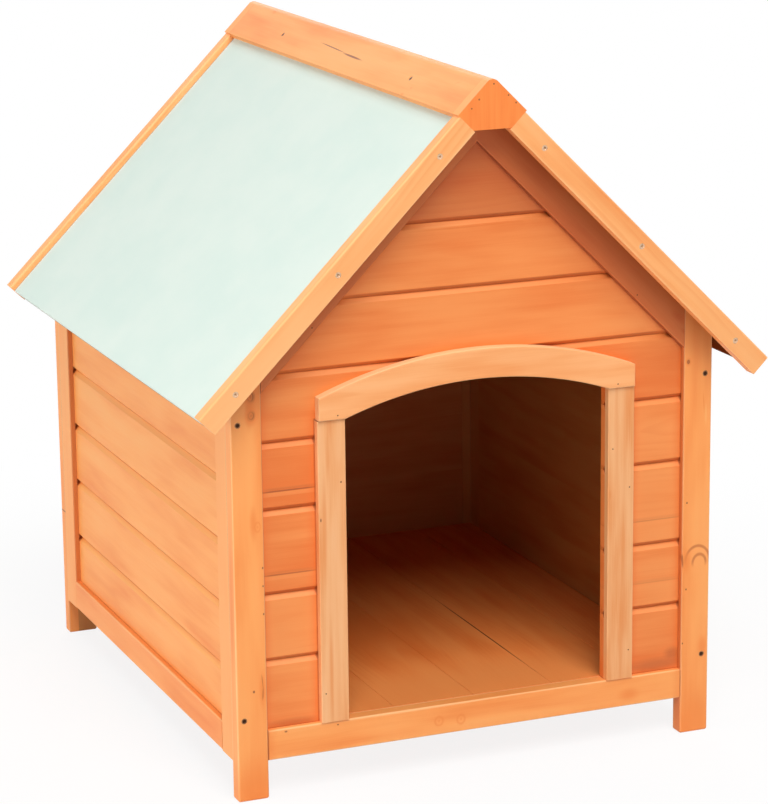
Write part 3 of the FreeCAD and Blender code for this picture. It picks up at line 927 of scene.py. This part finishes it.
def turned_grid(radii, heights, turns, groove=None):
    """A surface of revolution: rings of the given radii and heights, closed by its end rings.

    The first and last radius are zero, so each of those rings is one point repeated, of which
    the faces use the first. groove(x, y) is taken off the height of every ring.
    """
    angle = np.linspace(0, 2 * pi, turns, endpoint=False)
    x = np.outer(radii, np.cos(angle))
    y = np.outer(radii, np.sin(angle))
    z = np.repeat(np.array(heights)[:, None], turns, axis=1)
    if groove is not None:
        z = z - groove(x, y)
    return np.stack((x, y, z), axis=-1)


def grid_faces(rings, turns):
    """Faces between neighbouring rings of a turned grid, with one fan at each end."""
    ring = np.arange(1, rings - 2)[:, None] * turns
    turn = np.arange(turns)[None, :]
    after = (turn + 1) % turns
    quads = np.stack((ring + turn, ring + turns + turn, ring + turns + after, ring + after), -1)
    first = np.stack((turn * 0, turns + turn, turns + after), -1).reshape(-1, 3)
    last = (rings - 1) * turns
    tip = np.stack((last + turn * 0, last - turns + after, last - turns + turn), -1).reshape(-1, 3)
    return quads.reshape(-1, 4), np.concatenate((first, tip))


def stamped(shape, places):
    """Copies of one turned grid at each place: (point, outward direction, turn about it)."""
    rings, turns = shape.shape[:2]
    quads, fans = grid_faces(rings, turns)
    points = []
    faces = []
    for count, (point, outward, turn) in enumerate(places):
        away = Vector(outward).normalized()
        frame_turn = away.to_track_quat("Z", "Y").to_matrix() @ Matrix.Rotation(turn, 3, "Z")
        points.append(shape.reshape(-1, 3) @ np.array(frame_turn).T + np.array(point))
        start = count * rings * turns
        faces += (quads + start).tolist() + (fans + start).tolist()
    return np.concatenate(points), faces


def new_turned_piece(name, shape, places, material):
    """A piece of turned copies. Its attribute spot keeps each point's place on its own head."""
    points, faces = stamped(shape, places)
    spots = np.tile(shape.reshape(-1, 3), (len(places), 1))
    keep = np.unique(np.concatenate(faces))
    number = np.full(len(points), -1)
    number[keep] = np.arange(len(keep))
    renumbered = [number[face].tolist() for face in faces]
    mesh = bpy.data.meshes.new(name)
    mesh.from_pydata(points[keep].tolist(), [], renumbered)
    attribute = mesh.attributes.new("spot", "FLOAT_VECTOR", "POINT")
    attribute.data.foreach_set("vector", spots[keep].ravel())
    mesh.polygons.foreach_set("use_smooth", np.ones(len(mesh.polygons), bool))
    mesh.set_sharp_from_angle(angle=radians(35))
    mesh.materials.append(material)
    piece = bpy.data.objects.new(name, mesh)
    bpy.context.scene.collection.objects.link(piece)
    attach(piece, "root")
    return piece


def steel(name, shown, roughness, dark=0.0, hollow=1.0):
    """Zinc-plated steel: fine wear, dull spots, and a dark middle of each head, grime with painted
    shade of its hole and cross.

    Dark is the share of the head's radius that is darkened, and hollow how dark it gets.
    """
    finish = Finish(name)
    along, across, through = (finish.place(direction) for direction in (X, Y, Z))
    fine = finish.noise(along * 1400, across * 1400, through * 1400, 3.0)
    dull = finish.noise(along * 260, across * 260, through * 260, 2.0)
    colour = finish.blend(linear(*shown), (0.05, 0.035, 0.025), finish.step(dull, 0.45, 0.75) * 0.4)
    head = bpy.context.scene.dog_house_fastenings.head
    spot = finish.node("ShaderNodeAttribute", {"attribute_name": "spot"}, (), "Vector")
    parts = finish.node("ShaderNodeSeparateXYZ", (), {0: spot})
    east, north = abs(parts), abs(parts.other("Y"))
    far = (east * east + north * north) ** 0.5 / head
    star = finish.least(east, north) / head
    # The dark middle and cross of each head: painted shade of the hole and recess, with grime.
    dirt_and_shade = finish.fade(far + star * 0.15, dark - 0.1, dark + 0.22)
    colour = finish.blend(colour, (0.055, 0.020, 0.008), dirt_and_shade * hollow)
    return finish.surface(colour, fine * 0.25 + roughness, fine, 0.02 * MM, Metallic=0.8)


RIDGE_BOARD = 0.020
RIDGE_TOP = ROOF_PEAK + RIDGE_BOARD * sqrt(2)

# Where the screws sit, in metres. Barge screws lie at the heights BARGE_SCREW_PEAK - x.
PANEL_SCREW_X = 0.299
PANEL_SCREW_HEIGHTS = (0.100, 0.456)
BARGE_SCREW_FIRST = 0.065
BARGE_SCREW_STEP = 0.1253
BARGE_SCREW_PEAK = 0.81966
RIDGE_SCREW_DOWN = 0.036
RIDGE_SCREW_Y = 0.216
SCREW_TURN = 0.7

# For each kind of screw: its tint, and the share and strength of the dark middle of its head, grime
# with painted shade.
SCREW_TINTS = {
    "panel_screws": ((186, 132, 92), 0.68, 0.95),
    "barge_screws": ((224, 190, 158), 0.16, 0.5),
    "ridge_screws": ((206, 170, 138), 0.6, 0.8),
}


def screw_places():
    """Every screw: the middle of its head's rim on the wood, its direction and its turn."""
    front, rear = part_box("front_left_post")[0].y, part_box("rear_left_post")[1].y
    places = {"panel_screws": [], "barge_screws": [], "ridge_screws": []}
    turn = 0.0
    for y, out in ((front, -Y), (rear, Y)):
        for x in (-PANEL_SCREW_X, PANEL_SCREW_X):
            for z in PANEL_SCREW_HEIGHTS:
                turn += SCREW_TURN
                places["panel_screws"].append(((x, y, z), out, turn))
    front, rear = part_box("front_left_barge_board")[0].y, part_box("rear_left_barge_board")[1].y
    for y, out in ((front, -Y), (rear, Y)):
        for side in (-1, 1):
            for step in range(3):
                x = BARGE_SCREW_FIRST + BARGE_SCREW_STEP * step
                turn += SCREW_TURN
                places["barge_screws"].append(((side * x, y, BARGE_SCREW_PEAK - x), out, turn))
    for down, out in ((DOWN_LEFT, OUT_LEFT), (DOWN_RIGHT, OUT_RIGHT)):
        for y in (-RIDGE_SCREW_Y, RIDGE_SCREW_Y):
            turn += SCREW_TURN
            top = RIDGE_TOP * Z + down * RIDGE_SCREW_DOWN + y * Y
            places["ridge_screws"].append((tuple(top), out, turn))
    return places


class DOGHOUSE_OT_screws(bpy.types.Operator):
    """Make the cross-head screws"""

    bl_idname = "doghouse.screws"
    bl_label = "Screws"

    def execute(self, context):
        sizes = context.scene.dog_house_fastenings
        arm = sizes.head * 0.62
        half = sizes.head * 0.15

        def cross(x, y):
            """A driver's cross: deep in the middle, with arms that rise to their ends."""
            near = np.minimum(np.abs(x), np.abs(y)) / half
            far = np.maximum(np.abs(x), np.abs(y)) / arm
            wall = np.clip((1.25 - near) / 0.5, 0, 1)
            floor = np.clip((1.0 - far) / 0.55, 0, 1)
            inside = np.hypot(x, y) < sizes.head * 0.9
            return sizes.recess * wall * floor * inside

        share = np.array((0, 0.06, 0.13, 0.2, 0.28, 0.36, 0.45, 0.54, 0.63, 0.72, 0.86, 1.0))
        rim = -sizes.sink
        top = rim - 0.25 * MM * (share**2 - 1)
        radii = np.concatenate((share * sizes.head, (sizes.head, sizes.shank, sizes.shank, 0)))
        under = (rim - 0.35 * MM, rim - sizes.cone, rim - 3 * sizes.cone, rim - 3 * sizes.cone)
        heights = np.concatenate((top - 0.25 * MM, under))

        def groove(x, y):
            cut = cross(x, y)
            cut[len(share):] = 0
            return cut

        shape = turned_grid(radii, heights, sizes.turns, groove)
        for node, places in screw_places().items():
            tint, dark, hollow = SCREW_TINTS[node]
            material = steel(f"{node}_steel", tint, 0.36, dark, hollow)
            piece = new_turned_piece(f"{node}_cross_head", shape, places, material)
            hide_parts(node)
        return {"FINISHED"}


# Brads, in millimetres: the x and z of each head.
HEADER_BRADS = ((179.0, 456.5),)
JAMB_BRADS = ((174.7, 375.8), (197.4, 120.0))
BATTEN_BRADS = ((206.5, 561.2),)


class DOGHOUSE_OT_brads(bpy.types.Operator):
    """Make the brads of the door trim and the gable battens"""

    bl_idname = "doghouse.brads"
    bl_label = "Brads"

    def execute(self, context):
        sizes = context.scene.dog_house_fastenings
        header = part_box("door_header")[0].y
        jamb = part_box("door_left_jamb")[0].y
        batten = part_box("front_left_gable_batten")[0].y
        spots = [(side * x, header, z) for side in (-1, 1) for x, z in HEADER_BRADS]
        spots += [(side * x, jamb, z) for side in (-1, 1) for x, z in JAMB_BRADS]
        spots += [(side * x, batten, z) for side in (-1, 1) for x, z in BATTEN_BRADS]
        places = [((x * MM, y, z * MM), -Y, 0.0) for x, y, z in spots]
        radius = sizes.brad
        radii = np.array((0, 0.5, 0.85, 1.0, 1.0, 0)) * radius
        heights = np.array((0.12, 0.11, 0.06, -0.02, -0.6, -0.6)) * MM
        shape = turned_grid(radii, heights, 14)
        material = steel("brad_steel", (150, 96, 60), 0.5, 0.2, 0.5)
        new_turned_piece("trim_brads", shape, places, material)
        return {"FINISHED"}


# ---------------------------------------------------------------- studio


PAPER = (0.97, 0.97, 0.97)
PAPER_IN_SHADE = (0.80, 0.80, 0.80)
LAMP_AIM = Vector((0, 0, 0.42))

# Each lamp's name, place and width in metres, and watts.
LAMPS = (
    ("front_lamp", (-0.7, -4.4, 5.8), 4.2, 425),
    ("left_lamp", (-4.6, -0.6, 0.7), 2.2, 112),
    ("right_lamp", (4.2, 0.4, 2.2), 2.4, 30),
    ("back_lamp", (0.8, 4.0, 2.8), 2.4, 45),
)


def lamp(name, place, width, watts):
    light = bpy.data.lights.new(name, "AREA")
    light.shape = "SQUARE"
    light.size = width
    light.energy = watts
    holder = bpy.data.objects.new(name, light)
    bpy.context.scene.collection.objects.link(holder)
    holder.location = place
    holder.rotation_euler = (LAMP_AIM - Vector(place)).to_track_quat("-Z", "Y").to_euler()


class DOGHOUSE_OT_studio(bpy.types.Operator):
    """Set the camera, the lamps and the studio floor"""

    bl_idname = "doghouse.studio"
    bl_label = "Studio"

    def execute(self, context):
        studio = context.scene.dog_house_studio
        self.place_camera(context.scene, studio)
        self.lay_floor(studio)
        self.light_sky(context.scene, studio)
        for name, place, width, watts in LAMPS:
            lamp(name, place, width, watts)
        context.scene.view_settings.view_transform = "Standard"
        return {"FINISHED"}

    def place_camera(self, scene, studio):
        a, e, r = studio.azimuth, studio.elevation, studio.roll
        back = Vector((sin(a) * cos(e), -cos(a) * cos(e), sin(e)))
        level = Vector((cos(a), sin(a), 0))
        upright = back.cross(level)
        right = level * cos(r) + upright * sin(r)
        up = upright * cos(r) - level * sin(r)
        place = Z * studio.aim + right * studio.shift_right + up * studio.shift_up
        place += back * studio.distance
        camera = bpy.data.objects.new("camera", bpy.data.cameras.new("camera"))
        camera.data.sensor_fit = "VERTICAL"
        camera.data.sensor_height = 36
        camera.data.sensor_width = 36
        camera.data.lens = studio.lens
        camera.data.clip_end = 100
        matrix = Matrix((right, up, back)).transposed().to_4x4()
        matrix.translation = place
        camera.matrix_world = matrix
        scene.collection.objects.link(camera)
        scene.camera = camera

    def lay_floor(self, studio):
        """A disc: one face through 64 points on its rim, at the floor radius."""
        angle = np.linspace(0, 2 * pi, 64, endpoint=False)
        rim = np.stack((np.cos(angle), np.sin(angle), angle * 0), -1) * studio.floor
        mesh = bpy.data.meshes.new("studio_floor")
        mesh.from_pydata(rim.tolist(), [], [list(range(64))])
        mesh.materials.append(self.floor_material())
        floor = bpy.data.objects.new("studio_floor", mesh)
        bpy.context.scene.collection.objects.link(floor)

    def floor_material(self):
        """Pale paper near the house, plain white far from it, and clear from below."""
        finish = Finish("studio_floor")
        length = {"operation": "LENGTH"}
        away = finish.node("ShaderNodeVectorMath", length, {0: finish.point}, "Value")
        path = finish.node("ShaderNodeLightPath")
        seen = finish.most(path, path.other("Is Glossy Ray"))
        grainy = finish.noise(finish.place(X) * 40, finish.place(Y) * 40, 0.0) * 0.03
        paper = finish.blend(PAPER_IN_SHADE, PAPER, seen)
        paper = finish.blend(paper, (0, 0, 0), grainy)
        near = finish.node("ShaderNodeBsdfDiffuse", (), {"Color": paper})
        white = finish.node("ShaderNodeEmission", (), {"Color": (1, 1, 1, 1), "Strength": 1.0})
        white_share = finish.step(away, 0.4, 1.2) * 0.14 + 0.86
        far = white_share * finish.most(seen, path.other("Is Transmission Ray"))
        lit = finish.node("ShaderNodeMixShader", (), {0: far, 1: near, 2: white})
        clear = finish.node("ShaderNodeBsdfTransparent")
        below = finish.node("ShaderNodeNewGeometry", output="Backfacing")
        shader = finish.node("ShaderNodeMixShader", (), {0: below, 1: lit, 2: clear})
        finish.node("ShaderNodeOutputMaterial", (), {"Surface": shader})
        return finish.material

    def light_sky(self, scene, studio):
        """An even sky that is plain white to the camera and in reflections."""
        scene.world = bpy.data.worlds.new("studio_sky")
        sky = Finish("studio_sky", scene.world)
        path = sky.node("ShaderNodeLightPath")
        seen = sky.most(path, path.other("Is Glossy Ray"))
        white = (1, 1, 1, 1)
        light = sky.node("ShaderNodeBackground", (), {"Color": white, "Strength": studio.sky})
        plain = sky.node("ShaderNodeBackground", (), {"Color": white, "Strength": 1.0})
        shader = sky.node("ShaderNodeMixShader", (), {0: seen, 1: light, 2: plain})
        sky.node("ShaderNodeOutputWorld", (), {"Surface": shader})


# ---------------------------------------------------------------- panel and registration

STEPS = (
    DOGHOUSE_OT_studio,
    DOGHOUSE_OT_frame_timber,
    DOGHOUSE_OT_wall_boards,
    DOGHOUSE_OT_door_trim,
    DOGHOUSE_OT_floor_timber,
    DOGHOUSE_OT_roof_trim,
    DOGHOUSE_OT_roof_felt,
    DOGHOUSE_OT_screws,
    DOGHOUSE_OT_brads,
)


class DOGHOUSE_PT_panel(bpy.types.Panel):
    """Lists the steps that finish the dog house"""

    bl_idname = "DOGHOUSE_PT_panel"
    bl_label = "Dog House"
    bl_space_type = "VIEW_3D"
    bl_region_type = "UI"
    bl_category = "Dog House"

    def draw(self, context):
        for step in STEPS:
            self.layout.operator(step.bl_idname)
        for group, kind in GROUPS.items():
            box = self.layout.box()
            for name in kind.__annotations__:
                box.prop(getattr(context.scene, group), name)


def register():
    for kind in (*GROUPS.values(), *STEPS, DOGHOUSE_PT_panel):
        bpy.utils.register_class(kind)
    for group, kind in GROUPS.items():
        setattr(bpy.types.Scene, group, PointerProperty(type=kind))


def unregister():
    for group in GROUPS:
        delattr(bpy.types.Scene, group)
    for kind in (DOGHOUSE_PT_panel, *reversed(STEPS), *GROUPS.values()):
        bpy.utils.unregister_class(kind)


def main():
    register()
    for step in STEPS:
        family, name = step.bl_idname.split(".")
        getattr(getattr(bpy.ops, family), name)()


if __name__ == "__main__":
    main()
